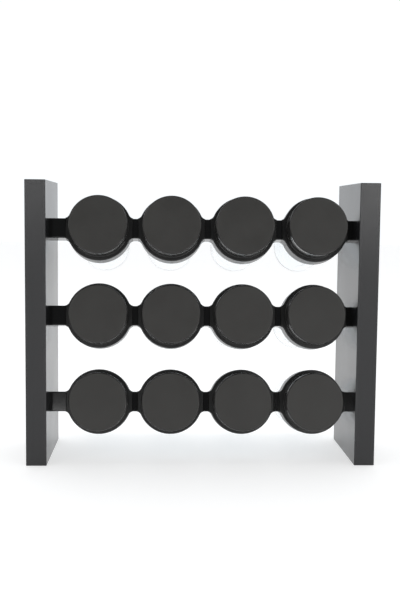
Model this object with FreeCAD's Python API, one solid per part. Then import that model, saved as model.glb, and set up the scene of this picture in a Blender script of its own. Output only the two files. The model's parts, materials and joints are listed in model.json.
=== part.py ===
import FreeCAD, Part
import math
import os

# A free-standing rack for spice jars. Two upright side panels carry three wavy
# holder strips. Each strip is a chain of round collars, and a glass jar with a
# screw lid lies in every collar, lid forward and tipped up a little, so that its
# own weight keeps the back of the lid against the collar.
#
# Frame: +Z up, -Y is the front, +X to the right as seen from the front. The
# origin is on the floor, in the middle of the footprint with the jars in place.
# Millimetres and degrees throughout.
#
# "Row axes" are the slanted axes of one row: x runs along the strip, v up along
# its slanted face, and w out of that face, along the jars towards their lids.
# w = 0 is the front face of the collars.

# ---------------------------------------------------------------- side panels
PANEL_HEIGHT = 243.5
PANEL_DEPTH = 98.0
PANEL_THICKNESS = 17.5
PANEL_EDGE_ROUND = 0.5

# ---------------------------------------------------------------- rows of jars
COLUMN_COUNT = 4
ROW_NAMES = ("bottom", "middle", "top")
BOTTOM_ROW_HEIGHT = 51.1      # floor to the middle of the bottom row's collars
ROW_GAP = 19.4                # between the collars of neighbouring rows
COLLAR_GAP = 6.0              # between neighbouring collars of one row
LEFT_END_GAP = 14.9           # left panel to the first collar
RIGHT_END_GAP = 5.7           # last collar to the right panel
HOLDER_SETBACK = 24.5         # panel front to collar face, at the collar's middle
JAR_TILT = 10.6               # the lid end is raised by this angle

# --------------------------------------------------------------- holder strips
HOLDER_THICKNESS = 17.5
COLLAR_WALL = 4.4
EDGE_ROUND = 0.8              # all the long outer edges of a strip
NECK_HEIGHT = 17.3
NECK_STEP = 1.5               # the necks lie this far behind the collar faces
NECK_FILLET = 5.0             # where a neck runs into a collar
STEP_REACH = 29.1             # collar's middle to the step down to its neck
BORE_CLEARANCE = 0.4          # all round between a collar and its jar
BORE_CHAMFER = 0.6

# ------------------------------------------------------------------ glass jars
JAR_RADIUS = 23.5
JAR_REACH = 108.0             # collar face to the underside of the jar
JAR_WALL = 2.2
JAR_BASE = 4.0                # glass thickness at the base
JAR_BASE_ROUND = 3.0
JAR_PUNT_RADIUS = 17.0        # the hollow under the base
JAR_PUNT_DEPTH = 1.2
SHOULDER_ROUND = 1.4
SHOULDER_SETBACK = 0.6        # foot of the neck, behind the collar face
SHOULDER_WIDTH = 1.5          # jar's side to the side of its threaded neck
FINISH_WALL = 2.0             # glass thickness of the threaded neck
LIP_ROUND = 0.6

# ------------------------------------------------------------------------ lids
LID_WALL = 1.9
LID_HEIGHT = 20.0
LID_TOP = 1.6                 # thickness of the lid's front
LID_EDGE_ROUND = 1.5
LID_CURL_RADIUS = 0.6         # the round bead along the open edge
LID_CURL_STAND = 0.6          # how far the bead stands out of the lid's side
LID_SEAT_GAP = 0.05           # lid skirt to collar face
LINER_THICKNESS = 0.8
LINER_CLEARANCE = 0.3         # round the liner, inside the lid
SEAL_GAP = 0.05               # liner to lid, and liner to sifter

# --------------------------------------------------------------- screw threads
THREAD_PITCH = 3.5
THREAD_TURNS = 1.25
THREAD_HEIGHT = 0.9           # how far the jar's ridge stands out of its neck
THREAD_BASE_WIDTH = 1.6
THREAD_CREST_WIDTH = 0.7
THREAD_ROOT_DEPTH = 0.4       # how far a ridge's root is let into its wall
THREAD_START = 5.0            # collar face to the start of the ridges
THREAD_CREST_CLEARANCE = 0.3  # ridge crest to the wall facing it

# --------------------------------------------------------------------- sifters
SIFTER_PLATE = 1.2
SIFTER_FLANGE_MARGIN = 0.4    # flange edge, inside the edge of the glass lip
SIFTER_PLUG_LENGTH = 5.0
SIFTER_PLUG_WALL = 1.0
SIFTER_FIT = 0.05             # plug to the inside of the neck
SIFTER_HOLE_RADIUS = 2.55
SIFTER_HOLE_RING = 9.0
SIFTER_RING_HOLES = 6

# ------------------------------------------------------------------- fasteners
FASTENER_OFFSET = 4.3         # screw above, and dowel below, the neck's middle
SCREW_RADIUS = 1.9
SCREW_HEAD_RADIUS = 3.8
SCREW_HEAD_HEIGHT = 2.4
SCREW_TIP_LENGTH = 2.0
SCREW_BITE = 8.0              # length of screw inside the holder
SCREW_CLEARANCE = 0.1
SCREW_RECESS_WIDTH = 0.9
SCREW_RECESS_LENGTH = 4.0
SCREW_RECESS_DEPTH = 1.4
CAP_RADIUS = 5.0
CAP_THICKNESS = 2.2
DOWEL_RADIUS = 2.5
DOWEL_IN_HOLDER = 7.5
DOWEL_IN_PANEL = 9.0
DOWEL_END_CHAMFER = 0.5
HOLE_END_SPARE = 0.5          # left past the end of a screw or a dowel
FASTENER_FIT = 0.05           # round dowels and caps, and screws in a holder

# -------------------------------------------------------------- derived places
BORE_RADIUS = JAR_RADIUS + BORE_CLEARANCE
COLLAR_RADIUS = BORE_RADIUS + COLLAR_WALL
COLUMN_PITCH = 2 * COLLAR_RADIUS + COLLAR_GAP
ROW_PITCH = 2 * COLLAR_RADIUS + ROW_GAP
CHAIN_LENGTH = COLUMN_COUNT * COLUMN_PITCH - COLLAR_GAP
INNER_WIDTH = LEFT_END_GAP + CHAIN_LENGTH + RIGHT_END_GAP
INNER_FACE = INNER_WIDTH / 2
FIRST_COLUMN = -INNER_FACE + LEFT_END_GAP + COLLAR_RADIUS
NECK_MIDDLE = -(HOLDER_THICKNESS + NECK_STEP) / 2
NECK_HALF = NECK_HEIGHT / 2
FILLET_RISE = NECK_HALF + NECK_FILLET
WING_REACH = math.sqrt((COLLAR_RADIUS + NECK_FILLET) ** 2 - FILLET_RISE ** 2)
WING_ANGLE = math.degrees(math.atan2(FILLET_RISE, WING_REACH))
FINISH_RADIUS = JAR_RADIUS - SHOULDER_WIDTH
LID_BORE_RADIUS = FINISH_RADIUS + THREAD_HEIGHT + THREAD_CREST_CLEARANCE
LID_RADIUS = LID_BORE_RADIUS + LID_WALL
LINER_FRONT = LID_HEIGHT - LID_TOP - SEAL_GAP
LINER_BACK = LINER_FRONT - LINER_THICKNESS
SIFTER_FRONT = LINER_BACK - SEAL_GAP
LIP_HEIGHT = SIFTER_FRONT - SIFTER_PLATE
SCREW_SEAT = PANEL_THICKNESS - CAP_THICKNESS - SCREW_CLEARANCE - SCREW_HEAD_HEIGHT
LEFT, RIGHT = -1, 1

TILT = math.radians(JAR_TILT)
BASE_CORNER_W = JAR_REACH - JAR_BASE_ROUND
BASE_CORNER_V = JAR_RADIUS - JAR_BASE_ROUND
JAR_DEPTH = BASE_CORNER_W * math.cos(TILT) + BASE_CORNER_V * math.sin(TILT) + JAR_BASE_ROUND
PANEL_FRONT = -(HOLDER_SETBACK + JAR_DEPTH) / 2
COLLAR_Y = PANEL_FRONT + HOLDER_SETBACK

ORIGIN = FreeCAD.Vector(0, 0, 0)
ALONG_X = FreeCAD.Vector(1, 0, 0)
ALONG_Y = FreeCAD.Vector(0, 1, 0)
ALONG_Z = FreeCAD.Vector(0, 0, 1)
SAME_PLACE = 1e-6             # points closer than this are one point
OVERCUT = 1.0                 # how far a cutting tool runs past a face


# ------------------------------------------------------------ drawing helpers
def point(x, y, z):
    """A point or a direction."""
    return FreeCAD.Vector(x, y, z)


def round_corner(centre, radius, start_angle, end_angle, up):
    """An arc about a centre, between two angles measured from x towards up."""
    places = []
    for angle in (start_angle, (start_angle + end_angle) / 2, end_angle):
        turn = math.radians(angle)
        places.append(centre + ALONG_X * (radius * math.cos(turn)) + up * (radius * math.sin(turn)))
    return Part.Arc(*places).toShape()


def turned_corner(r, z, radius, start_angle, end_angle):
    """A round corner of a turned outline, about the place r, z."""
    return round_corner(point(r, 0, z), radius, start_angle, end_angle, ALONG_Z)


def flat_corner(x, y, radius, start_angle, end_angle):
    """A round corner of an outline in the x-y plane, about the place x, y."""
    return round_corner(point(x, y, 0), radius, start_angle, end_angle, ALONG_Y)


def ends_of(piece):
    """The first and last place of a point or an arc."""
    if isinstance(piece, FreeCAD.Vector):
        return piece, piece
    return piece.valueAt(piece.FirstParameter), piece.valueAt(piece.LastParameter)


def closed_outline(*pieces):
    """Points and arcs in order, joined by straight runs into one closed outline."""
    path = []
    last = ends_of(pieces[-1])[1]
    for piece in pieces:
        first = ends_of(piece)[0]
        if last.distanceToPoint(first) > SAME_PLACE:
            path.append(Part.LineSegment(last, first).toShape())
        if isinstance(piece, Part.Edge):
            path.append(piece)
        last = ends_of(piece)[1]
    return Part.Wire(path)


def turned(wire):
    """A solid made by turning an outline in the x-z plane about the z axis."""
    return Part.Face(wire).revolve(ORIGIN, ALONG_Z, 360)


def disc(radius, start, length):
    """A round disc along z."""
    return Part.makeCylinder(radius, length, point(0, 0, start))


def edges_at(shape, z):
    """The edges of a shape that lie in one level plane."""
    found = []
    for edge in shape.Edges:
        box = edge.BoundBox
        if abs(box.ZMin - z) < SAME_PLACE and abs(box.ZMax - z) < SAME_PLACE:
            found.append(edge)
    return found


def on_row(shape, row, x=0.0):
    """A copy of a shape, carried from its own x, y, z to a row's x, v, w."""
    height = BOTTOM_ROW_HEIGHT + ROW_NAMES.index(row) * ROW_PITCH
    copy = shape.copy()
    slant = FreeCAD.Rotation(ALONG_X, 90 - JAR_TILT)
    copy.Placement = FreeCAD.Placement(point(x, COLLAR_Y, height), slant)
    return copy


# ------------------------------------------------------------------- fasteners
def rod(side, start, length, radius, v):
    """A round rod along x, starting a distance outside a panel's inner face."""
    base = point(side * (INNER_FACE + start), v, NECK_MIDDLE)
    return Part.makeCylinder(radius, length, base, point(side, 0, 0))


def cone(side, start, length, start_radius, end_radius, v):
    """A tapered rod along x, starting a distance outside a panel's inner face."""
    base = point(side * (INNER_FACE + start), v, NECK_MIDDLE)
    return Part.makeCone(start_radius, end_radius, length, base, point(side, 0, 0))


def screw(side):
    """A wood screw with a cross recess, its head in the panel and its tip in the holder."""
    v = FASTENER_OFFSET
    tip = cone(side, -SCREW_BITE, SCREW_TIP_LENGTH, 0, SCREW_RADIUS, v)
    shank_start = SCREW_TIP_LENGTH - SCREW_BITE
    shank = rod(side, shank_start, SCREW_SEAT - shank_start, SCREW_RADIUS, v)
    head = rod(side, SCREW_SEAT, SCREW_HEAD_HEIGHT, SCREW_HEAD_RADIUS, v)
    recess_x = side * (INNER_FACE + SCREW_SEAT + SCREW_HEAD_HEIGHT)
    long_way, narrow_way, depth = SCREW_RECESS_LENGTH, SCREW_RECESS_WIDTH, 2 * SCREW_RECESS_DEPTH
    recess = None
    for height, width in ((long_way, narrow_way), (narrow_way, long_way)):
        low = point(recess_x - depth / 2, v - height / 2, NECK_MIDDLE - width / 2)
        slot = Part.makeBox(depth, height, width, low)
        recess = slot if recess is None else recess.fuse(slot)
    return tip.fuse([shank, head]).cut(recess).removeSplitter()


def screw_cap(side):
    """The flush round cap that closes the screw's hole in the outer face."""
    return rod(side, PANEL_THICKNESS - CAP_THICKNESS, CAP_THICKNESS, CAP_RADIUS, FASTENER_OFFSET)


def dowel(side):
    """A wooden dowel that stops the holder from turning about its screw."""
    v = -FASTENER_OFFSET
    chamfer = DOWEL_END_CHAMFER
    end_radius = DOWEL_RADIUS - chamfer
    inner = cone(side, -DOWEL_IN_HOLDER, chamfer, end_radius, DOWEL_RADIUS, v)
    barrel_length = DOWEL_IN_HOLDER + DOWEL_IN_PANEL - 2 * chamfer
    barrel = rod(side, chamfer - DOWEL_IN_HOLDER, barrel_length, DOWEL_RADIUS, v)
    outer = cone(side, DOWEL_IN_PANEL - chamfer, chamfer, DOWEL_RADIUS, end_radius, v)
    return inner.fuse([barrel, outer]).removeSplitter()


def panel_holes(side):
    """The screw hole, the cap's hole and the dowel hole of one row, in a side panel."""
    screw_hole = SCREW_RADIUS + SCREW_CLEARANCE
    through = rod(side, -OVERCUT, PANEL_THICKNESS + 2 * OVERCUT, screw_hole, FASTENER_OFFSET)
    cap_depth = PANEL_THICKNESS - SCREW_SEAT
    cap_hole = rod(side, SCREW_SEAT, cap_depth + OVERCUT, CAP_RADIUS + FASTENER_FIT, FASTENER_OFFSET)
    dowel_depth = DOWEL_IN_PANEL + HOLE_END_SPARE
    dowel_hole = rod(side, -OVERCUT, dowel_depth + OVERCUT, DOWEL_RADIUS + FASTENER_FIT, -FASTENER_OFFSET)
    return [through, cap_hole, dowel_hole]


def holder_holes(side):
    """The screw hole and the dowel hole in one end of a holder strip."""
    screw_depth = SCREW_BITE + HOLE_END_SPARE
    pilot = rod(side, -screw_depth, screw_depth + OVERCUT, SCREW_RADIUS + FASTENER_FIT, FASTENER_OFFSET)
    dowel_depth = DOWEL_IN_HOLDER + HOLE_END_SPARE
    dowel_clear = DOWEL_RADIUS + FASTENER_FIT
    dowel_hole = rod(side, -dowel_depth, dowel_depth + OVERCUT, dowel_clear, -FASTENER_OFFSET)
    return [pilot, dowel_hole]


# ------------------------------------------------------- panels and holder strips
def side_panel(side):
    """An upright board with eased edges, bored for the three holders."""
    low_x = INNER_FACE if side == RIGHT else -INNER_FACE - PANEL_THICKNESS
    board = Part.makeBox(PANEL_THICKNESS, PANEL_DEPTH, PANEL_HEIGHT, point(low_x, PANEL_FRONT, 0))
    board = board.makeFillet(PANEL_EDGE_ROUND, board.Edges)
    holes = [on_row(hole, row) for row in ROW_NAMES for hole in panel_holes(side)]
    return board.cut(holes)


def collar_outline():
    """A collar seen along its bore, with the roots of its two necks."""
    reach, rise, half = WING_REACH, FILLET_RISE, NECK_HALF
    wing, fillet = WING_ANGLE, NECK_FILLET
    return closed_outline(
        point(reach, half, 0),
        flat_corner(reach, rise, fillet, 270, 180 + wing),
        flat_corner(0, 0, COLLAR_RADIUS, wing, 180 - wing),
        flat_corner(-reach, rise, fillet, 360 - wing, 270),
        point(-reach, -half, 0),
        flat_corner(-reach, -rise, fillet, 90, wing),
        flat_corner(0, 0, COLLAR_RADIUS, 180 + wing, 360 - wing),
        flat_corner(reach, -rise, fillet, 180 - wing, 90),
    )


def collar():
    """One solid collar with the roots of its necks, front edges rounded; w = 0 is its front face."""
    outline = Part.Face(collar_outline())
    plate = outline.extrude(point(0, 0, -HOLDER_THICKNESS))
    width, height = 2 * STEP_REACH, 2 * (COLLAR_RADIUS + OVERCUT)
    corner = point(-width / 2, -height / 2, -HOLDER_THICKNESS)
    between_steps = Part.makeBox(width, height, HOLDER_THICKNESS, corner)
    raised = plate.common(between_steps)
    raised = raised.makeFillet(EDGE_ROUND, edges_at(raised, 0))
    roots = outline.translated(point(0, 0, -NECK_STEP)).extrude(point(0, 0, NECK_STEP - HOLDER_THICKNESS))
    arcs = [edge for edge in edges_at(roots, -NECK_STEP) if abs(edge.CenterOfMass.x) > COLLAR_RADIUS / 2]
    curved = [edge for edge in arcs if edge.BoundBox.XLength > SAME_PLACE]
    return raised.fuse(roots.makeFillet(EDGE_ROUND, curved))


def collar_bore():
    """The tool that bores a collar for its jar and chamfers both mouths."""
    tool = disc(BORE_RADIUS, -HOLDER_THICKNESS - OVERCUT, HOLDER_THICKNESS + 2 * OVERCUT)
    wide = BORE_RADIUS + BORE_CHAMFER
    front = Part.makeCone(BORE_RADIUS, wide, BORE_CHAMFER, point(0, 0, -BORE_CHAMFER))
    back = Part.makeCone(wide, BORE_RADIUS, BORE_CHAMFER, point(0, 0, -HOLDER_THICKNESS))
    return tool.fuse([front, back])


def neck(low_x, high_x):
    """A straight neck between two collars, or between a collar and a panel."""
    depth = HOLDER_THICKNESS - NECK_STEP
    bar = Part.makeBox(high_x - low_x, NECK_HEIGHT, depth, point(low_x, -NECK_HALF, -HOLDER_THICKNESS))
    long_edges = [edge for edge in edges_at(bar, -NECK_STEP) if edge.BoundBox.YLength < SAME_PLACE]
    return bar.makeFillet(EDGE_ROUND, long_edges)


def holder_strip():
    """A chain of collars joined by necks, bored for the jars and for its fasteners."""
    columns = [FIRST_COLUMN + index * COLUMN_PITCH for index in range(COLUMN_COUNT)]
    root = WING_REACH - EDGE_ROUND - OVERCUT
    pieces = []
    neck_start = -INNER_FACE
    for x in columns:
        pieces.append(neck(neck_start, x - root))
        pieces.append(collar().translated(point(x, 0, 0)))
        neck_start = x + root
    pieces.append(neck(neck_start, INNER_FACE))
    strip = pieces[0].fuse(pieces[1:]).removeSplitter()
    tools = [collar_bore().translated(point(x, 0, 0)) for x in columns]
    tools += holder_holes(LEFT) + holder_holes(RIGHT)
    return strip.cut(tools)


# ------------------------------------------------------------------------ jars
def thread_ridge(wall_radius, crest_radius):
    """One helical ridge, its root let into the wall that it stands on."""
    outward = 1 if crest_radius > wall_radius else -1
    root_radius = wall_radius - outward * THREAD_ROOT_DEPTH
    base, crest = THREAD_BASE_WIDTH / 2, THREAD_CREST_WIDTH / 2
    flank_slope = (base - crest) / abs(crest_radius - wall_radius)
    root = base + flank_slope * THREAD_ROOT_DEPTH
    corners = ((root_radius, -root), (crest_radius, -crest), (crest_radius, crest), (root_radius, root))
    section = closed_outline(*[point(r, 0, z) for r, z in corners])
    path = Part.Wire(Part.makeHelix(THREAD_PITCH, THREAD_PITCH * THREAD_TURNS, wall_radius))
    ridge = path.makePipeShell([section], True, True)
    return ridge.translated(point(0, 0, THREAD_START + base))


def jar_glass():
    """A straight-sided jar with a low shoulder and a screw neck, open at the lip."""
    base = -JAR_REACH
    floor = base + JAR_BASE
    inner = JAR_RADIUS - JAR_WALL
    mouth = FINISH_RADIUS - FINISH_WALL
    corner, shoulder, lip = JAR_BASE_ROUND, SHOULDER_ROUND, LIP_ROUND
    body = turned(closed_outline(
        point(0, 0, base + JAR_PUNT_DEPTH),
        point(JAR_PUNT_RADIUS - JAR_PUNT_DEPTH, 0, base + JAR_PUNT_DEPTH),
        point(JAR_PUNT_RADIUS, 0, base),
        turned_corner(JAR_RADIUS - corner, base + corner, corner, -90, 0),
        turned_corner(JAR_RADIUS - shoulder, -SHOULDER_SETBACK - shoulder, shoulder, 0, 90),
        point(FINISH_RADIUS, 0, -SHOULDER_SETBACK),
        turned_corner(FINISH_RADIUS - lip, LIP_HEIGHT - lip, lip, 0, 90),
        turned_corner(mouth + lip, LIP_HEIGHT - lip, lip, 90, 180),
        point(mouth, 0, -SHOULDER_SETBACK - shoulder),
        point(inner, 0, -SHOULDER_SETBACK - 2 * shoulder),
        turned_corner(inner - corner, floor + corner, corner, 0, -90),
        point(0, 0, floor),
    ))
    return body.fuse(thread_ridge(FINISH_RADIUS, FINISH_RADIUS + THREAD_HEIGHT))


def lid():
    """A screw lid: a flat front with a rounded rim, a threaded skirt and a beaded open edge."""
    edge, curl = LID_EDGE_ROUND, LID_CURL_RADIUS
    ceiling = LID_HEIGHT - LID_TOP
    curl_r = LID_RADIUS + LID_CURL_STAND - curl
    curl_z = LID_SEAT_GAP + curl
    shell = turned(closed_outline(
        point(0, 0, LID_HEIGHT),
        point(0, 0, ceiling),
        point(LID_BORE_RADIUS, 0, ceiling),
        point(LID_BORE_RADIUS, 0, LID_SEAT_GAP),
        turned_corner(curl_r, curl_z, curl, 270, 360),
        turned_corner(curl_r, curl_z, curl, 0, 90),
        point(LID_RADIUS, 0, curl_z + curl),
        turned_corner(LID_RADIUS - edge, LID_HEIGHT - edge, edge, 0, 90),
    ))
    ridge = thread_ridge(LID_BORE_RADIUS, FINISH_RADIUS + THREAD_CREST_CLEARANCE)
    ridge.rotate(ORIGIN, ALONG_Z, 180)
    return shell.fuse(ridge)


def liner():
    """The soft sealing disc inside the lid."""
    return disc(LID_BORE_RADIUS - LINER_CLEARANCE, LINER_BACK, LINER_THICKNESS)


def sifter():
    """The shaker top: a holed plate on the glass lip, with a plug pushed into the mouth."""
    plug_radius = FINISH_RADIUS - FINISH_WALL - SIFTER_FIT
    plate = disc(FINISH_RADIUS - SIFTER_FLANGE_MARGIN, LIP_HEIGHT, SIFTER_PLATE)
    plug = disc(plug_radius, LIP_HEIGHT - SIFTER_PLUG_LENGTH, SIFTER_PLUG_LENGTH)
    hollow = disc(plug_radius - SIFTER_PLUG_WALL, LIP_HEIGHT - SIFTER_PLUG_LENGTH, SIFTER_PLUG_LENGTH)
    hole = disc(SIFTER_HOLE_RADIUS, LIP_HEIGHT - OVERCUT, SIFTER_PLATE + 2 * OVERCUT)
    holes = [hole]
    for index in range(SIFTER_RING_HOLES):
        turn = math.radians(360 * index / SIFTER_RING_HOLES)
        away = point(SIFTER_HOLE_RING * math.cos(turn), SIFTER_HOLE_RING * math.sin(turn), 0)
        holes.append(hole.translated(away))
    return plate.fuse(plug).cut([hollow] + holes).removeSplitter()


# ---------------------------------------------------------------------- output
def save(node, shape):
    """Write one node."""
    shape.exportStep(os.path.join("parts", node + ".step"))


def save_fasteners():
    """Write the screws, their caps and the dowels, each kind as one group."""
    kinds = {"holder_screws": screw, "screw_caps": screw_cap, "holder_dowels": dowel}
    for node, make in kinds.items():
        group = [on_row(make(side), row) for row in ROW_NAMES for side in (LEFT, RIGHT)]
        save(node, Part.makeCompound(group))


def save_jars():
    """Write the four pieces of every jar."""
    pieces = {"glass": jar_glass(), "sifter": sifter(), "liner": liner(), "lid": lid()}
    for row in ROW_NAMES:
        for column in range(COLUMN_COUNT):
            x = FIRST_COLUMN + column * COLUMN_PITCH
            for piece, shape in pieces.items():
                save(f"{row}_jar_{column + 1}_{piece}", on_row(shape, row, x))


def save_rack():
    """Write the two side panels and the three holder strips."""
    save("left_side_panel", side_panel(LEFT))
    save("right_side_panel", side_panel(RIGHT))
    strip = holder_strip()
    for row in ROW_NAMES:
        save(f"{row}_jar_holder", on_row(strip, row))


os.makedirs("parts", exist_ok=True)
save_rack()
save_fasteners()
save_jars()
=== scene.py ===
import json
import logging
import math
from dataclasses import dataclass, field
from enum import Enum
from typing import Iterator, Sequence

import bmesh
import bpy
from mathutils import Matrix, Vector


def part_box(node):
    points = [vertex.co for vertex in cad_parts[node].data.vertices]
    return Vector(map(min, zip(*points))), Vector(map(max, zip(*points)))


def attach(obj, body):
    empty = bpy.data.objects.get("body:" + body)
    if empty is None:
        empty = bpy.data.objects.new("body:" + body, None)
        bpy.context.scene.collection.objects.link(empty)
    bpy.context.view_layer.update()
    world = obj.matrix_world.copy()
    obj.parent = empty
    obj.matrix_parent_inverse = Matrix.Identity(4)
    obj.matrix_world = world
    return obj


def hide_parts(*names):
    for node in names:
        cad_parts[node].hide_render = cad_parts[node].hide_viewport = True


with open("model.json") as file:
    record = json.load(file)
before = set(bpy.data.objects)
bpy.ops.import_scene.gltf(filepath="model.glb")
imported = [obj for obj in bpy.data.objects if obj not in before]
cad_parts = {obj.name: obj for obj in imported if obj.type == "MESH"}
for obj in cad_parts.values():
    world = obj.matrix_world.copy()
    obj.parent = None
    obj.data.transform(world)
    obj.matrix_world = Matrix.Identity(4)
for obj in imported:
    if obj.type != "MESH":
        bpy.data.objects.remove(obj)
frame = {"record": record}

log = logging.getLogger("spice_rack")

MM = 0.001
SAME_PLACE = 1e-6           # two places closer than this are one, in metres
WELD = 1e-7                 # a spin's first and last vertices are this close
ROWS = ("bottom", "middle", "top")
COLUMNS = (1, 2, 3, 4)
Colour = tuple[float, float, float]


# --------------------------------------------------------------------- places
@dataclass(frozen=True)
class JarPlace:
    """Where one jar sits: its row, its column and the way its axis points."""

    row: str
    column: int

    @property
    def name(self) -> str:
        """The jar's name, which is also the name of its body."""
        return f"{self.row}_jar_{self.column}"

    @property
    def seat(self) -> Vector:
        """The middle of the collar's front face, where the lid comes to rest."""
        return Vector(self._turn_joint()["pos_m"])

    @property
    def out(self) -> Vector:
        """The direction of the jar's axis, towards its lid."""
        return Vector(self._turn_joint()["axis"]).normalized()

    def matrix(self) -> Matrix:
        """The matrix that lays a jar modelled upright along this place's axis."""
        across = Vector((1.0, 0.0, 0.0))
        up = self.out.cross(across)
        turn = Matrix((across, up, self.out)).transposed().to_4x4()
        return Matrix.Translation(self.seat) @ turn

    def _turn_joint(self) -> dict:
        """The record's joint about which this jar's lid turns."""
        joints = frame["record"]["behaviour"]["joints"]
        return next(j for j in joints if j["name"] == f"{self.name}_lid_turn")


def jar_places() -> Iterator[JarPlace]:
    """Every jar of the rack, row by row."""
    for row in ROWS:
        for column in COLUMNS:
            yield JarPlace(row, column)


# --------------------------------------------------------------- turned shapes
@dataclass(frozen=True)
class Corner:
    """One corner of a turned outline, with the radius that rounds it off."""

    r: float
    z: float
    rounding: float = 0.0
    segments: int = 4

    @property
    def place(self) -> Vector:
        """The corner as a point in the x-z plane, in metres."""
        return Vector((self.r * MM, 0.0, self.z * MM))


@dataclass
class Turning:
    """A closed solid turned about the z axis from an outline of a few corners."""

    corners: Sequence[Corner]
    steps: int = 96
    hold: float = 0.25
    bm: bmesh.types.BMesh = field(default_factory=bmesh.new)

    def make(self) -> bmesh.types.BMesh:
        """Spin the outline and round its corners.

        Returns:
            The finished mesh, its faces pointing outwards.
        """
        verts = [self.bm.verts.new(p) for p in self._outline()]
        edges = [self.bm.edges.new(pair) for pair in zip(verts, verts[1:])]
        bmesh.ops.spin(self.bm, geom=verts + edges, cent=(0, 0, 0), axis=(0, 0, 1),
                       dvec=(0, 0, 0), angle=math.tau, steps=self.steps, use_merge=True,
                       use_duplicate=False)
        bmesh.ops.remove_doubles(self.bm, verts=self.bm.verts, dist=WELD)
        for corner in self.corners:
            if corner.rounding:
                self._round(corner)
        bmesh.ops.recalc_face_normals(self.bm, faces=self.bm.faces)
        return self.bm

    def _outline(self) -> list[Vector]:
        """The corners, with holding points beside each rounded one, so that flats stay flat."""
        points = [c.place for c in self.corners]
        closed = [self.corners[0].place] if self.corners[0].r else []
        out: list[Vector] = []
        for index, corner in enumerate(self.corners):
            here = points[index]
            reach = (corner.rounding + self.hold) * MM
            if corner.rounding and (index > 0 or closed):
                out.append(here + (points[index - 1] - here).normalized() * reach)
            out.append(here)
            if corner.rounding:
                after = points[(index + 1) % len(points)]
                out.append(here + (after - here).normalized() * reach)
        if closed:
            out.append(out[0].copy())
        return out

    def _round(self, corner: Corner) -> None:
        """Round off the ring of edges at one corner.

        Args:
            corner: the corner to round.
        """
        ring = [e for e in self.bm.edges if all(self._is_at(v, corner) for v in e.verts)]
        bmesh.ops.bevel(self.bm, geom=ring, offset=corner.rounding * MM, offset_type="OFFSET",
                        segments=corner.segments, profile=0.5, affect="EDGES",
                        clamp_overlap=False, material=-1)

    @staticmethod
    def _is_at(vert: bmesh.types.BMVert, corner: Corner) -> bool:
        """Whether a vertex lies on the ring that a corner swept out.

        Args:
            vert: the vertex.
            corner: the corner.

        Returns:
            True if it does.
        """
        radius = math.hypot(vert.co.x, vert.co.y)
        level = abs(vert.co.z - corner.z * MM) < SAME_PLACE
        return level and abs(radius - corner.r * MM) < SAME_PLACE


@dataclass(frozen=True)
class ScrewThread:
    """A one-start thread raised on a turned wall by moving its vertices in or out."""

    pitch: float = 3.5
    turns: float = 1.25
    height: float = 0.9
    base_width: float = 1.6
    crest_width: float = 0.7
    start: float = 5.0
    rows: int = 52
    run_out: float = 25.0

    def raise_on(self, bm: bmesh.types.BMesh, radius: float, low: float, high: float,
                 outward: bool, first_angle: float) -> None:
        """Cut rows of vertices into a round wall and raise the ridge on them.

        Args:
            bm: the mesh that has the wall.
            radius: the wall's radius, in millimetres.
            low: height of the wall's lower end.
            high: height of its upper end.
            outward: True for a ridge that stands out, False for one that stands in.
            first_angle: where the ridge starts round the wall, in degrees.
        """
        uprights = [e for e in bm.edges if self._is_upright(e, radius, low, high)]
        bmesh.ops.subdivide_edges(bm, edges=uprights, cuts=self.rows, use_grid_fill=True)
        sign = 1.0 if outward else -1.0
        for vert in bm.verts:
            here = math.hypot(vert.co.x, vert.co.y)
            on_wall = abs(here - radius * MM) < SAME_PLACE
            if on_wall and low * MM + SAME_PLACE < vert.co.z < high * MM - SAME_PLACE:
                angle = math.degrees(math.atan2(vert.co.y, vert.co.x)) - first_angle
                lift = sign * self._lift(angle, vert.co.z / MM)
                vert.co.x *= 1 + lift * MM / here
                vert.co.y *= 1 + lift * MM / here

    def _is_upright(self, edge: bmesh.types.BMEdge, radius: float, low: float,
                    high: float) -> bool:
        """Whether an edge runs straight up the threaded wall.

        Args:
            edge: the edge.
            radius: the wall's radius, in millimetres.
            low: height of the wall's lower end.
            high: height of its upper end.

        Returns:
            True if it does.
        """
        a, b = edge.verts
        if abs(a.co.z - b.co.z) < (high - low) * MM * 0.5:
            return False
        bottom, top = low * MM - SAME_PLACE, high * MM + SAME_PLACE
        near = [abs(math.hypot(v.co.x, v.co.y) - radius * MM) < SAME_PLACE for v in (a, b)]
        inside = [bottom <= v.co.z <= top for v in (a, b)]
        return all(near) and all(inside)

    def _lift(self, angle: float, z: float) -> float:
        """How far the ridge stands off the wall.

        Args:
            angle: degrees round the wall from the ridge's start.
            z: height on the wall, in millimetres.

        Returns:
            The height of the ridge there, in millimetres.
        """
        best = 0.0
        middle = self.start + self.base_width / 2
        for lap in range(int(self.turns) + 2):
            along = (angle % 360.0) + 360.0 * lap
            if along > self.turns * 360.0:
                continue
            off = abs(z - middle - self.pitch * along / 360.0)
            flank = (self.base_width - self.crest_width) / 2
            rise = min(max((self.base_width / 2 - off) / flank, 0.0), 1.0)
            ends = min(along, self.turns * 360.0 - along)
            best = max(best, rise * min(ends / self.run_out, 1.0))
        return best * self.height


def to_piece(bm: bmesh.types.BMesh, name: str, material: bpy.types.Material,
             sharp: float = 40.0) -> bpy.types.Object:
    """Turn a finished mesh into an object at the origin, smooth but for its sharp edges.

    Args:
        bm: the mesh, which is freed.
        name: the piece's name.
        material: the finish it gets.
        sharp: edges that turn by more than this many degrees stay crisp.

    Returns:
        The new object.
    """
    mesh = bpy.data.meshes.new(name)
    bm.to_mesh(mesh)
    bm.free()
    mesh.shade_smooth()
    mesh.set_sharp_from_angle(angle=math.radians(sharp))
    mesh.materials.append(material)
    piece = bpy.data.objects.new(name, mesh)
    bpy.context.scene.collection.objects.link(piece)
    return piece


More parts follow.
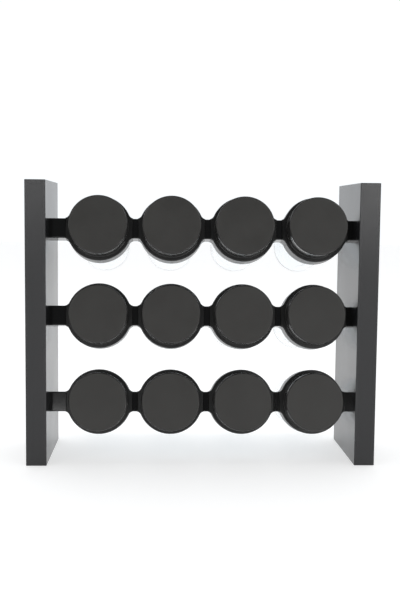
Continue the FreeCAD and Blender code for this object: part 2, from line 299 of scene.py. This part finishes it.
# ---------------------------------------------------------------- node helpers
class Graph:
    """A short way to place and join shader nodes in one tree."""

    def __init__(self, tree: bpy.types.NodeTree) -> None:
        """Start with an empty tree."""
        self.tree = tree
        tree.nodes.clear()

    def add(self, kind: str, settings: dict | None = None, **inputs: object) -> bpy.types.Node:
        """Place a node.

        Args:
            kind: the node's type name, without its Shader prefix.
            settings: properties to set on the node.
            inputs: values or sockets for its inputs; underscores stand for spaces.

        Returns:
            The new node.
        """
        node = self.tree.nodes.new(f"ShaderNode{kind}")
        for key, value in (settings or {}).items():
            setattr(node, key, value)
        for key, value in inputs.items():
            self.feed(node, key.replace("_", " "), value)
        return node

    def feed(self, node: bpy.types.Node, name: str | int, value: object) -> None:
        """Set an input to a value, or join a socket to it.

        Args:
            node: the node.
            name: the input's name or number.
            value: the value or socket.
        """
        if isinstance(value, bpy.types.NodeSocket):
            self.tree.links.new(value, node.inputs[name])
        else:
            node.inputs[name].default_value = value

    def math(self, operation: str, a: object, b: object = 0.0,
             clamp: bool = False) -> bpy.types.NodeSocket:
        """The result of one Math node.

        Args:
            operation: the node's operation.
            a: its first value or socket.
            b: its second value or socket.
            clamp: whether the result is held from 0 to 1.

        Returns:
            The node's output.
        """
        node = self.add("Math", {"operation": operation, "use_clamp": clamp})
        self.feed(node, 0, a)
        self.feed(node, 1, b)
        return node.outputs[0]

    def spread(self, value: object, low: float, high: float, to_low: float,
               to_high: float) -> bpy.types.NodeSocket:
        """A value carried from one range to another, held at its ends.

        Args:
            value: the value or socket.
            low: the lower end of its range.
            high: the upper end.
            to_low: what the lower end becomes.
            to_high: what the upper end becomes.

        Returns:
            The carried value.
        """
        node = self.add("MapRange", {"clamp": True}, Value=value, From_Min=low, From_Max=high,
                        To_Min=to_low, To_Max=to_high)
        return node.outputs["Result"]

    def blend(self, factor: object, first: object, second: object) -> bpy.types.NodeSocket:
        """A colour between two colours.

        Args:
            factor: 0 for the first colour, 1 for the second.
            first: the first colour or socket.
            second: the second.

        Returns:
            The blended colour.
        """
        node = self.add("Mix", {"data_type": "RGBA"})
        self.feed(node, "Factor", factor)
        for key, value in (("A", first), ("B", second)):
            socket = next(s for s in node.inputs if s.name == key and s.type == "RGBA")
            if isinstance(value, bpy.types.NodeSocket):
                self.tree.links.new(value, socket)
            else:
                socket.default_value = (*value, 1.0)
        return next(s for s in node.outputs if s.type == "RGBA")


class Effect(Enum):
    """The surface effects that several finishes share."""

    GRAIN = "fine_grain"
    RUB = "rubbed_edges"
    DUST = "settled_dust"


class Effects:
    """Node groups for the shared effects, each built once and reused."""

    COARSE_SIZE = 0.31
    FINE_SHARE = 0.7
    COARSE_SHARE = 0.3
    RUB_NOISE = 160.0
    SPECK_SIZE = 900.0

    @classmethod
    def place(cls, graph: Graph, effect: Effect, **inputs: object) -> bpy.types.Node:
        """Put an effect into a material.

        Args:
            graph: the material's graph.
            effect: which effect.
            inputs: values or sockets for the group's inputs.

        Returns:
            The group node.
        """
        group = bpy.data.node_groups.get(effect.value) or cls._build(effect)
        node = graph.add("Group", {"node_tree": group})
        for key, value in inputs.items():
            graph.feed(node, key.replace("_", " "), value)
        return node

    @classmethod
    def _build(cls, effect: Effect) -> bpy.types.NodeTree:
        """Build an effect's node group."""
        tree = bpy.data.node_groups.new(effect.value, "ShaderNodeTree")
        makers = {Effect.GRAIN: cls._grain, Effect.RUB: cls._rub, Effect.DUST: cls._dust}
        makers[effect](tree)
        return tree

    @staticmethod
    def _sockets(tree: bpy.types.NodeTree, inputs: dict[str, tuple[str, float]],
                 outputs: Sequence[str]) -> Graph:
        """Give a group its sockets and its two end nodes.

        Args:
            tree: the group's tree.
            inputs: each input's name, with its kind and its usual value.
            outputs: the names of the outputs.

        Returns:
            A graph of the tree, which holds the end nodes as source and sink.
        """
        for name, (kind, value) in inputs.items():
            form = f"NodeSocket{kind}"
            socket = tree.interface.new_socket(name, in_out="INPUT", socket_type=form)
            if kind == "Float":
                socket.default_value = value
        for name in outputs:
            tree.interface.new_socket(name, in_out="OUTPUT", socket_type="NodeSocketFloat")
        graph = Graph(tree)
        graph.source = tree.nodes.new("NodeGroupInput")
        graph.sink = tree.nodes.new("NodeGroupOutput")
        return graph

    @classmethod
    def _grain(cls, tree: bpy.types.NodeTree) -> None:
        """Fine texture: a height for bump, and a slow unevenness for tone and gloss."""
        inputs = {
            "Place": ("Vector", 0.0),
            "Size": ("Float", 400.0),
            "Spread": ("Float", 18.0),
        }
        g = cls._sockets(tree, inputs, ("Height", "Unevenness"))
        source = g.source.outputs
        fine = g.add("TexNoise", Vector=source["Place"], Scale=source["Size"], Detail=3.0,
                     Roughness=0.55)
        coarse_size = g.math("MULTIPLY", source["Size"], cls.COARSE_SIZE)
        coarse = g.add("TexNoise", Vector=source["Place"], Scale=coarse_size, Detail=2.0)
        fine_part = g.math("MULTIPLY", fine.outputs[0], cls.FINE_SHARE)
        coarse_part = g.math("MULTIPLY", coarse.outputs[0], cls.COARSE_SHARE)
        height = g.math("ADD", fine_part, coarse_part)
        slow = g.add("TexNoise", Vector=source["Place"], Scale=source["Spread"], Detail=3.0,
                     Roughness=0.6)
        g.feed(g.sink, "Height", height)
        g.feed(g.sink, "Unevenness", g.spread(slow.outputs[0], 0.3, 0.7, 0.0, 1.0))

    @classmethod
    def _rub(cls, tree: bpy.types.NodeTree) -> None:
        """Where hands polish a board: a mask that is 1 along its edges, broken up by noise."""
        inputs = {
            "Place": ("Vector", 0.0),
            "Low": ("Vector", 0.0),
            "High": ("Vector", 0.0),
            "Width": ("Float", 0.003),
        }
        g = cls._sockets(tree, inputs, ("Mask",))
        source = g.source.outputs
        gaps = []
        from_low = g.add("VectorMath", {"operation": "SUBTRACT"})
        g.feed(from_low, 0, source["Place"])
        g.feed(from_low, 1, source["Low"])
        from_high = g.add("VectorMath", {"operation": "SUBTRACT"})
        g.feed(from_high, 0, source["High"])
        g.feed(from_high, 1, source["Place"])
        lows = g.add("SeparateXYZ", Vector=from_low.outputs[0])
        highs = g.add("SeparateXYZ", Vector=from_high.outputs[0])
        for axis in "XYZ":
            nearest = g.math("MINIMUM", lows.outputs[axis], highs.outputs[axis])
            gaps.append(g.math("DIVIDE", nearest, source["Width"], clamp=True))
        # the smallest gap is the face itself, so an edge is where the next one is small too
        total = g.math("ADD", g.math("ADD", gaps[0], gaps[1], clamp=False), gaps[2])
        biggest = g.math("MAXIMUM", g.math("MAXIMUM", gaps[0], gaps[1]), gaps[2])
        second = g.math("SUBTRACT", total, biggest)
        noise = g.add("TexNoise", Vector=source["Place"], Scale=cls.RUB_NOISE, Detail=3.0)
        near = g.math("SUBTRACT", 1.0, second, clamp=True)
        broken = g.spread(noise.outputs[0], 0.35, 0.6, 0.0, 1.0)
        g.feed(g.sink, "Mask", g.math("MULTIPLY", near, broken))

    @classmethod
    def _dust(cls, tree: bpy.types.NodeTree) -> None:
        """A mask for the little dust that settles on faces that look up."""
        inputs = {"Place": ("Vector", 0.0), "Amount": ("Float", 0.2)}
        g = cls._sockets(tree, inputs, ("Mask",))
        source = g.source.outputs
        normal = g.add("SeparateXYZ", Vector=g.add("NewGeometry").outputs["Normal"])
        up = g.spread(normal.outputs["Z"], 0.5, 1.0, 0.0, 1.0)
        specks = g.add("TexNoise", Vector=source["Place"], Scale=cls.SPECK_SIZE, Detail=4.0)
        cover = g.math("MULTIPLY", up, g.spread(specks.outputs[0], 0.45, 0.7, 0.2, 1.0))
        g.feed(g.sink, "Mask", g.math("MULTIPLY", cover, source["Amount"]))


def new_material(name: str, tint: Colour) -> tuple[
        bpy.types.Material, Graph, bpy.types.Node, bpy.types.NodeSocket]:
    """Start a material that holds one Principled shader.

    Args:
        name: the material's name.
        tint: the colour that solid view shows.

    Returns:
        The material, its graph, its shader and the object coordinates.
    """
    material = bpy.data.materials.new(name)
    material.use_nodes = True
    material.diffuse_color = (*tint, 1.0)
    graph = Graph(material.node_tree)
    shader = graph.add("BsdfPrincipled")
    output = graph.add("OutputMaterial")
    graph.feed(output, "Surface", shader.outputs[0])
    place = graph.add("TexCoord").outputs["Object"]
    return material, graph, shader, place


# -------------------------------------------------------------------- finishes
@dataclass(frozen=True)
class BoardLacquer:
    """Satin dark grey lacquer sprayed on a board, a little polished along its edges."""

    colour: Colour = (0.013, 0.013, 0.0145)
    rubbed: Colour = (0.026, 0.026, 0.028)
    roughness: float = 0.22
    peel: float = 0.05
    grain_size: float = 520.0
    cloud_size: float = 14.0
    rub_width: float = 2.2 * MM
    dust: float = 0.10
    dust_colour: Colour = (0.35, 0.34, 0.33)
    darkest: float = 0.88

    def material(self, name: str, low: Vector, high: Vector) -> bpy.types.Material:
        """Make the finish for one board.

        Args:
            name: the material's name.
            low: the board's lowest corner.
            high: its highest corner.

        Returns:
            The material.
        """
        material, g, shader, place = new_material(name, self.colour)
        grain = Effects.place(g, Effect.GRAIN, Place=place, Size=self.grain_size,
                              Spread=self.cloud_size)
        rub = Effects.place(g, Effect.RUB, Place=place, Low=low, High=high, Width=self.rub_width)
        dust = Effects.place(g, Effect.DUST, Place=place, Amount=self.dust)
        dark = tuple(self.darkest * c for c in self.colour)
        body = g.blend(grain.outputs["Unevenness"], dark, self.colour)
        worn = g.blend(rub.outputs["Mask"], body, self.rubbed)
        g.feed(shader, "Base Color", g.blend(dust.outputs["Mask"], worn, self.dust_colour))
        rough = g.spread(grain.outputs["Unevenness"], 0.0, 1.0, self.roughness - 0.025,
                         self.roughness + 0.035)
        dulled = g.math("MULTIPLY", dust.outputs["Mask"], 0.8)
        g.feed(shader, "Roughness", g.math("ADD", rough, dulled))
        bump = g.add("Bump", Strength=self.peel, Distance=0.0003, Height=grain.outputs["Height"])
        g.feed(shader, "Normal", bump.outputs[0])
        shader.inputs["IOR"].default_value = 1.5
        return material


@dataclass(frozen=True)
class StripLacquer:
    """Black lacquer of the strips: deep gloss on the necks, satin on the collar faces, the necks
    darker in colour as painted shade.
    """

    # painted shade: the necks' colour is darker than the collars' to stand for the shade in the
    # recess between them
    shaded_neck_gloss: Colour = (0.004, 0.004, 0.004)
    satin: Colour = (0.010, 0.010, 0.0095)
    gloss_roughness: float = 0.09
    satin_roughness: float = 0.30

    def material(self, name: str, first: float, pitch: float, reach: float) -> bpy.types.Material:
        """Make the finish for one strip.

        Args:
            name: the material's name.
            first: place of the first collar's middle along x, in metres.
            pitch: distance from collar to collar.
            reach: how far a collar's face runs each side of its middle.

        Returns:
            The material.
        """
        material, g, shader, place = new_material(name, self.shaded_neck_gloss)
        along = g.add("SeparateXYZ", Vector=place).outputs["X"]
        steps = g.math("DIVIDE", g.math("SUBTRACT", along, first), pitch)
        off = g.math("ABSOLUTE", g.math("SUBTRACT", steps, g.math("ROUND", steps)))
        distance = g.math("MULTIPLY", off, pitch)
        from_middle = g.math("ABSOLUTE", g.math("SUBTRACT", steps, (len(COLUMNS) - 1) / 2))
        inside_chain = g.math("LESS_THAN", from_middle, len(COLUMNS) / 2)
        on_collar = g.math("MULTIPLY", g.math("LESS_THAN", distance, reach), inside_chain)
        grain = Effects.place(g, Effect.GRAIN, Place=place, Size=900.0, Spread=22.0)
        dust = Effects.place(g, Effect.DUST, Place=place, Amount=0.06)
        # painted shade on the necks between the collars; the gloss and satin roughness below is
        # real
        body = g.blend(on_collar, self.shaded_neck_gloss, self.satin)
        g.feed(shader, "Base Color", g.blend(dust.outputs["Mask"], body, (0.3, 0.3, 0.29)))
        rough = g.spread(on_collar, 0.0, 1.0, self.gloss_roughness, self.satin_roughness)
        uneven = g.spread(grain.outputs["Unevenness"], 0.0, 1.0, -0.02, 0.03)
        g.feed(shader, "Roughness", g.math("ADD", rough, uneven))
        bump = g.add("Bump", Strength=0.04, Distance=0.0002, Height=grain.outputs["Height"])
        g.feed(shader, "Normal", bump.outputs[0])
        shader.inputs["IOR"].default_value = 1.5
        return material


@dataclass(frozen=True)
class LidPlastic:
    """Moulded warm grey plastic, spark-eroded on the front and polished on the sides, whose
    darker colour there is painted shade.
    """

    colour: Colour = (0.0290, 0.0278, 0.0255)
    lighter: Colour = (0.0335, 0.0322, 0.0297)
    roughness: float = 0.42
    texture: float = 0.25
    texture_depth: float = 0.06 * MM

    def material(self, name: str) -> bpy.types.Material:
        """Make the finish.

        Args:
            name: the material's name.

        Returns:
            The material.
        """
        material, g, shader, place = new_material(name, self.colour)
        grain = Effects.place(g, Effect.GRAIN, Place=place, Size=2600.0, Spread=45.0)
        dust = Effects.place(g, Effect.DUST, Place=place, Amount=0.08)
        body = g.blend(grain.outputs["Unevenness"], self.colour, self.lighter)
        g.feed(shader, "Base Color", g.blend(dust.outputs["Mask"], body, (0.3, 0.29, 0.28)))
        rough = g.spread(grain.outputs["Unevenness"], 0.0, 1.0, self.roughness - 0.03,
                         self.roughness + 0.04)
        g.feed(shader, "Roughness", rough)
        bump = g.add("Bump", Strength=self.texture, Distance=self.texture_depth,
                     Height=grain.outputs["Height"])
        g.feed(shader, "Normal", bump.outputs[0])
        shader.inputs["IOR"].default_value = 1.5
        return material


@dataclass(frozen=True)
class JarGlass:
    """Clear pressed glass, faintly blue, that lets lamplight through."""

    tint: Colour = (0.93, 0.962, 0.98)
    clearest: Colour = (0.945, 0.972, 0.985)
    ripple: float = 0.04

    def material(self, name: str) -> bpy.types.Material:
        """Make the finish.

        Args:
            name: the material's name.

        Returns:
            The material.
        """
        material, g, shader, place = new_material(name, self.tint)
        shader.inputs["Transmission Weight"].default_value = 1.0
        shader.inputs["IOR"].default_value = 1.5
        shader.inputs["Metallic"].default_value = 0.0
        uneven = g.add("TexNoise", Vector=place, Scale=35.0, Detail=2.0)
        clouds = g.spread(uneven.outputs[0], 0.35, 0.65, 0.0, 1.0)
        tint = g.blend(clouds, self.tint, self.clearest)
        g.feed(shader, "Base Color", tint)
        g.feed(shader, "Roughness", g.spread(uneven.outputs[0], 0.3, 0.7, 0.0, 0.02))
        bump = g.add("Bump", Strength=self.ripple, Distance=0.0004, Height=uneven.outputs[0])
        g.feed(shader, "Normal", bump.outputs[0])
        clear = g.add("BsdfTransparent", Color=(*self.tint, 1.0))
        choose = g.add("MixShader")
        g.feed(choose, 0, g.add("LightPath").outputs["Is Shadow Ray"])
        g.feed(choose, 1, shader.outputs[0])
        g.feed(choose, 2, clear.outputs[0])
        output = next(n for n in g.tree.nodes if n.type == "OUTPUT_MATERIAL")
        g.feed(output, "Surface", choose.outputs[0])
        return material


@dataclass(frozen=True)
class SmallPartFinish:
    """A plain finish for the hidden small parts, with fine grain and slow unevenness."""

    colour: Colour
    lighter: Colour
    roughness: float
    metallic: float = 0.0
    grain_size: float = 1500.0
    grain_depth: float = 0.1 * MM
    cloud_size: float = 60.0
    streak: float = 1.0

    def material(self, name: str) -> bpy.types.Material:
        """Make the finish.

        Args:
            name: the material's name.

        Returns:
            The material.
        """
        material, g, shader, place = new_material(name, self.colour)
        shader.inputs["Metallic"].default_value = self.metallic
        stretched = g.add("Mapping", Vector=place, Scale=Vector((1.0 / self.streak, 1.0, 1.0)))
        grain = Effects.place(g, Effect.GRAIN, Place=stretched.outputs[0],
                              Size=self.grain_size, Spread=self.cloud_size)
        g.feed(shader, "Base Color", g.blend(grain.outputs["Height"], self.colour, self.lighter))
        rough = g.spread(grain.outputs["Unevenness"], 0.0, 1.0, self.roughness * 0.85,
                         self.roughness * 1.15)
        g.feed(shader, "Roughness", rough)
        bump = g.add("Bump", Strength=0.3, Distance=self.grain_depth,
                     Height=grain.outputs["Height"])
        g.feed(shader, "Normal", bump.outputs[0])
        return material


# --------------------------------------------------------------- sub-assemblies
def dress(node: str, material: bpy.types.Material) -> None:
    """Give a carried-over part its finish.

    Args:
        node: the part's name.
        material: the finish.
    """
    piece = bpy.data.objects[node]
    if not piece.data.materials:
        piece.data.materials.append(material)
    for slot in piece.material_slots:
        slot.material = material


@dataclass
class SidePanels:
    """The two upright boards that the rack stands on."""

    nodes: tuple[str, str] = ("left_side_panel", "right_side_panel")
    finish: BoardLacquer = BoardLacquer()

    def build(self) -> list[str]:
        """Finish both boards.

        Returns:
            The names of the parts.
        """
        for node in self.nodes:
            low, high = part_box(node)
            dress(node, self.finish.material(f"{node}_lacquer", Vector(low), Vector(high)))
        return list(self.nodes)


@dataclass
class HolderStrips:
    """The three wavy strips that carry the jars."""

    finish: StripLacquer = StripLacquer()
    step_reach: float = 29.1 * MM

    def build(self) -> list[str]:
        """Finish the strips.

        Returns:
            The names of the parts.
        """
        made = []
        for row in ROWS:
            first, second = JarPlace(row, 1).seat.x, JarPlace(row, 2).seat.x
            node = f"{row}_jar_holder"
            material = self.finish.material(f"{node}_lacquer", first, second - first,
                                            self.step_reach)
            dress(node, material)
            made.append(node)
        return made


@dataclass
class SmallParts:
    """The screws, their caps, the dowels, the shaker tops and the liners."""

    steel: SmallPartFinish = SmallPartFinish(
        (0.42, 0.42, 0.43), (0.6, 0.6, 0.61), 0.3, metallic=1.0)
    cap: SmallPartFinish = SmallPartFinish((0.040, 0.040, 0.043), (0.050, 0.050, 0.053), 0.35)
    beech: SmallPartFinish = SmallPartFinish(
        (0.50, 0.33, 0.18), (0.62, 0.44, 0.27), 0.6, streak=12.0)
    shaker: SmallPartFinish = SmallPartFinish((0.70, 0.71, 0.71), (0.78, 0.79, 0.79), 0.35)
    foam: SmallPartFinish = SmallPartFinish(
        (0.68, 0.68, 0.66), (0.80, 0.80, 0.78), 0.8, grain_depth=0.3 * MM)

    def build(self) -> list[str]:
        """Finish every small part.

        Returns:
            The names of the parts.
        """
        finishes = {
            "holder_screws": self.steel.material("screw_steel"),
            "screw_caps": self.cap.material("cap_plastic"),
            "holder_dowels": self.beech.material("dowel_beech"),
        }
        shaker, foam = self.shaker.material("shaker_plastic"), self.foam.material("liner_foam")
        for place in jar_places():
            finishes[f"{place.name}_sifter"] = shaker
            finishes[f"{place.name}_liner"] = foam
        for node, material in finishes.items():
            dress(node, material)
        return list(finishes)


@dataclass
class GlassJars:
    """The straight-sided glass jars, one body each."""

    radius: float = 23.5
    reach: float = 108.0
    wall: float = 2.2
    base: float = 4.0
    base_round: float = 3.0
    punt_radius: float = 17.0
    punt_depth: float = 1.2
    shoulder_round: float = 1.4
    shoulder_z: float = -0.6
    neck_radius: float = 22.0
    neck_wall: float = 2.0
    lip_height: float = 16.3
    lip_round: float = 0.6
    thread: ScrewThread = ScrewThread()
    finish: JarGlass = JarGlass()

    def shape(self) -> bmesh.types.BMesh:
        """One jar, upright about the z axis, with its collar seat at z = 0.

        Returns:
            The finished mesh.
        """
        base, floor = -self.reach, self.base - self.reach
        inner, mouth = self.radius - self.wall, self.neck_radius - self.neck_wall
        inner_shoulder = self.shoulder_z - self.shoulder_round
        corners = (
            Corner(0.0, base + self.punt_depth),
            Corner(self.punt_radius - self.punt_depth, base + self.punt_depth, 0.5, 2),
            Corner(self.punt_radius, base, 0.4, 2),
            Corner(self.radius, base, self.base_round, 6),
            Corner(self.radius, self.shoulder_z, self.shoulder_round, 5),
            Corner(self.neck_radius, self.shoulder_z),
            Corner(self.neck_radius, self.lip_height, self.lip_round, 4),
            Corner(mouth, self.lip_height, self.lip_round, 4),
            Corner(mouth, inner_shoulder, 0.4, 2),
            Corner(inner, inner_shoulder - self.shoulder_round, 0.4, 2),
            Corner(inner, floor, self.base_round, 6),
            Corner(0.0, floor),
        )
        bm = Turning(corners).make()
        low, high = self.shoulder_z, self.lip_height - self.lip_round
        self.thread.raise_on(bm, self.neck_radius, low, high, outward=True, first_angle=0.0)
        return bm

    def build(self) -> list[str]:
        """Make and place every jar.

        Returns:
            The names of the pieces.
        """
        material = self.finish.material("jar_glass")
        pattern = self.shape()
        made = []
        for place in jar_places():
            bm = pattern.copy()
            bmesh.ops.transform(bm, matrix=place.matrix(), verts=bm.verts)
            piece = to_piece(bm, f"{place.name}_glass_jar", material)
            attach(piece, place.name)
            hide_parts(f"{place.name}_glass")
            made.append(piece.name)
        pattern.free()
        return made


@dataclass
class Lids:
    """The screw lids, one body each."""

    radius: float = 25.1
    height: float = 20.0
    top: float = 1.6
    edge_round: float = 0.9
    curl: float = 0.6
    seat_gap: float = 0.05
    bore: float = 23.2
    thread: ScrewThread = ScrewThread()
    finish: LidPlastic = LidPlastic()
    # painted shade: the sides get a darker copy of the same plastic; only their lower roughness
    # is real polish
    shaded_side_finish: LidPlastic = LidPlastic(
        (0.016, 0.0155, 0.0145), (0.019, 0.0185, 0.0175), roughness=0.16, texture=0.05)

    def shape(self) -> bmesh.types.BMesh:
        """One lid, upright about the z axis, its open edge just above z = 0.

        Returns:
            The finished mesh.
        """
        ceiling = self.height - self.top
        bead, bead_top = self.radius + self.curl, self.seat_gap + 2 * self.curl
        corners = (
            Corner(0.0, self.height),
            Corner(self.radius, self.height, self.edge_round, 6),
            Corner(self.radius, bead_top),
            Corner(bead, bead_top, self.curl * 0.98, 5),
            Corner(bead, self.seat_gap, self.curl * 0.98, 5),
            Corner(self.bore, self.seat_gap, 0.2, 2),
            Corner(self.bore, ceiling, 0.3, 2),
            Corner(0.0, ceiling),
        )
        bm = Turning(corners, hold=0.0).make()
        self.thread.raise_on(bm, self.bore, self.seat_gap, ceiling, outward=False,
                             first_angle=180.0)
        for face in bm.faces:
            on_front = all(abs(v.co.z - self.height * MM) < SAME_PLACE for v in face.verts)
            face.material_index = 0 if on_front else 1
        return bm

    def build(self) -> list[str]:
        """Make and place every lid.

        Returns:
            The names of the pieces.
        """
        material = self.finish.material("lid_plastic")
        # painted shade: the second slot darkens the lid's sides
        side = self.shaded_side_finish.material("lid_side_shaded_plastic")
        pattern = self.shape()
        made = []
        for place in jar_places():
            bm = pattern.copy()
            bmesh.ops.transform(bm, matrix=place.matrix(), verts=bm.verts)
            piece = to_piece(bm, f"{place.name}_screw_lid", material)
            piece.data.materials.append(side)
            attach(piece, f"{place.name}_lid")
            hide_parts(f"{place.name}_lid")
            made.append(piece.name)
        pattern.free()
        return made


# ----------------------------------------------------------------------- studio
@dataclass(frozen=True)
class Lamp:
    """One rectangular lamp, aimed at the middle of the rack."""

    name: str
    place: tuple[float, float, float]
    size: tuple[float, float]
    power: float
    aim: tuple[float, float, float] = (0.0, 0.0, 0.12)

    def build(self) -> None:
        """Hang the lamp."""
        lamp = bpy.data.lights.new(self.name, "AREA")
        lamp.shape = "RECTANGLE"
        lamp.size, lamp.size_y = self.size
        lamp.energy = self.power
        holder = bpy.data.objects.new(self.name, lamp)
        holder.location = self.place
        towards = Vector(self.aim) - holder.location
        holder.rotation_euler = towards.to_track_quat("-Z", "Y").to_euler()
        bpy.context.scene.collection.objects.link(holder)


@dataclass
class Studio:
    """A plain pale floor, soft light and the camera."""

    floor_size: float = 12.0
    camera_aside: float = -0.03715
    camera_back: float = 0.80886
    camera_height: float = 0.21637
    yaw: float = 2.453
    pitch: float = 5.155
    roll: float = 0.564
    lens: float = 57.52
    floor_colours: tuple[Colour, Colour] = ((0.49, 0.49, 0.49), (0.51, 0.51, 0.51))
    floor_glow: float = 0.6
    surround_colour: Colour = (0.95, 0.975, 1.0)
    surround_level: float = 1.06
    front_levels: tuple[float, float] = (0.13, 0.15)
    lamps: tuple[Lamp, ...] = (
        Lamp("left_lamp", (-1.4, -1.3, 1.1), (1.3, 1.3), 9.0),
        Lamp("right_lamp", (1.3, -1.4, 1.2), (1.3, 1.3), 9.0),
        Lamp("top_lamp", (0.0, 0.3, 1.9), (2.0, 2.0), 10.0),
        Lamp("left_strip_lamp", (-0.55, -2.5, 0.33), (0.55, 0.26), 1.7),
        Lamp("right_strip_lamp", (0.75, -2.5, 0.33), (0.55, 0.26), 2.5),
    )

    def build(self) -> None:
        """Make the floor, the light and the camera."""
        self._floor()
        self._surroundings()
        self._lamps()
        self._camera()
        bpy.context.scene.view_settings.view_transform = "Standard"

    def _floor(self) -> None:
        """A wide pale floor that glows a little, like a sheet lit from below."""
        bm = bmesh.new()
        bmesh.ops.create_grid(bm, x_segments=1, y_segments=1, size=self.floor_size / 2)
        material, g, shader, place = new_material("studio_floor", (0.9, 0.9, 0.9))
        tone = g.add("TexNoise", Vector=place, Scale=1.2, Detail=2.0)
        g.feed(shader, "Base Color", g.blend(tone.outputs[0], *self.floor_colours))
        shader.inputs["Roughness"].default_value = 0.7
        shader.inputs["Emission Color"].default_value = (1.0, 1.0, 1.0, 1.0)
        shader.inputs["Emission Strength"].default_value = self.floor_glow
        to_piece(bm, "floor", material)

    def _surroundings(self) -> None:
        """White all round and behind, dimmer in front of the rack."""
        world = bpy.data.worlds.new("studio")
        bpy.context.scene.world = world
        world.use_nodes = True
        g = Graph(world.node_tree)
        way = g.add("SeparateXYZ", Vector=g.add("TexCoord").outputs["Generated"])
        in_front = g.spread(way.outputs["Z"], -0.02, 0.30, *self.front_levels)
        behind = g.spread(way.outputs["Y"], -0.25, 0.15, 0.0, 1.0)
        front_part = g.math("MULTIPLY", in_front, g.math("SUBTRACT", 1.0, behind))
        level = g.math("ADD", front_part, behind)
        strength = g.math("MULTIPLY", level, self.surround_level)
        back = g.add("Background", Color=(*self.surround_colour, 1.0), Strength=strength)
        g.feed(g.add("OutputWorld"), "Surface", back.outputs[0])

    def _lamps(self) -> None:
        """Hang every lamp."""
        for lamp in self.lamps:
            lamp.build()

    def _camera(self) -> None:
        """The camera, set off from the middle of the panels' front edges."""
        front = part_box("left_side_panel")[0][1]
        yaw, pitch, roll = (math.radians(a) for a in (self.yaw, self.pitch, self.roll))
        level = math.cos(pitch)
        ahead = Vector((math.sin(yaw) * level, math.cos(yaw) * level, -math.sin(pitch)))
        level_right = Vector((math.cos(yaw), -math.sin(yaw), 0.0))
        level_up = level_right.cross(ahead)
        right = level_right * math.cos(roll) + level_up * math.sin(roll)
        up = level_up * math.cos(roll) - level_right * math.sin(roll)
        data = bpy.data.cameras.new("camera")
        data.lens = self.lens
        data.clip_start, data.clip_end = 0.05, 50.0
        camera = bpy.data.objects.new("camera", data)
        turn = Matrix((right, up, -ahead)).transposed().to_4x4()
        place = Vector((self.camera_aside, front - self.camera_back, self.camera_height))
        camera.matrix_world = Matrix.Translation(place) @ turn
        bpy.context.scene.collection.objects.link(camera)
        bpy.context.scene.camera = camera


def main() -> None:
    """Build the rack's visible pieces around the fixed frame, and log their names."""
    logging.basicConfig(level=logging.INFO, format="%(name)s: %(message)s")
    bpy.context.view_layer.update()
    Studio().build()
    for assembly in (SidePanels(), HolderStrips(), SmallParts(), GlassJars(), Lids()):
        for name in assembly.build():
            log.info("%s: %s", type(assembly).__name__, name)


if __name__ == "__main__":
    main()
